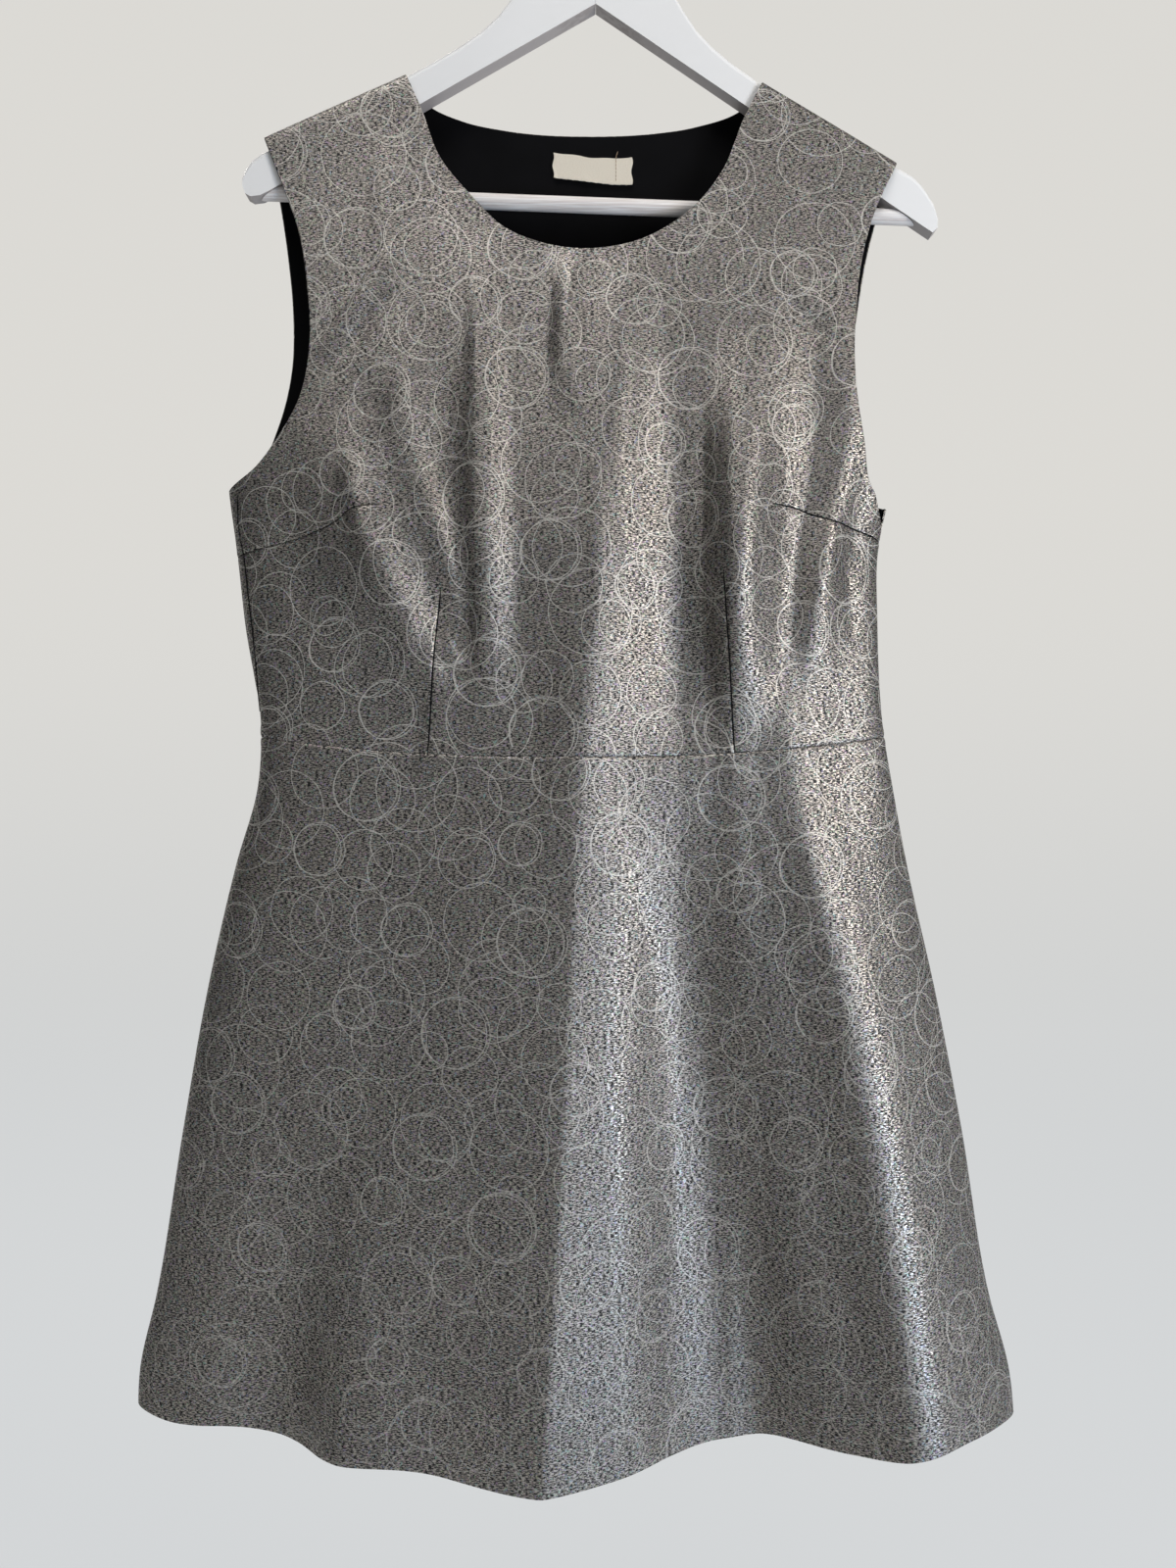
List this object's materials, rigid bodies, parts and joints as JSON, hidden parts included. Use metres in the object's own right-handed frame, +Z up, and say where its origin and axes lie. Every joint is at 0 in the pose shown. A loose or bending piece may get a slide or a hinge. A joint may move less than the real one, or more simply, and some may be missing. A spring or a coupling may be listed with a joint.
{
  "type": "fit and flare dress on a hanger",
  "caption": "Sleeveless fit and flare dress with a round neck, darted bodice, waist seam and flared skirt, hanging on a flat wooden hanger with a trouser bar.",
  "frame": {"origin": "inside top of the hanger's hook, where it rests on a rail", "axes": "+Z up, the front of the dress faces -Y, and +X is to the right of someone who looks at the front"},
  "size_m": [0.5592, 0.1115, 1.0208],
  "materials": {
    "lurex_bodice_front": "black and silver lurex jacquard with fine silver rings",
    "lurex_bodice_back": "black and silver lurex jacquard with fine silver rings",
    "lurex_skirt_front": "black and silver lurex jacquard with fine silver rings",
    "lurex_skirt_back": "black and silver lurex jacquard with fine silver rings",
    "lining": "black woven lining",
    "label": "blank cream woven tape",
    "zip_tape": "black zip tape and coil",
    "painted_wood": "white paint, satin",
    "painted_bar": "thin white paint over the grain",
    "steel": "bright plated"
  },
  "bodies": {
    "root": {"bodice_front": "lurex_bodice_front", "bodice_back": "lurex_bodice_back", "skirt_front": "lurex_skirt_front", "skirt_back": "lurex_skirt_back", "bodice_back_lining": "lining", "neck_label": "label", "side_zip": "zip_tape", "hanger_arm_left": "painted_wood", "hanger_arm_right": "painted_wood", "hanger_bar": "painted_bar", "hanger_ferrule": "steel", "hanger_hook": "steel"}
  },
  "joints": []
}
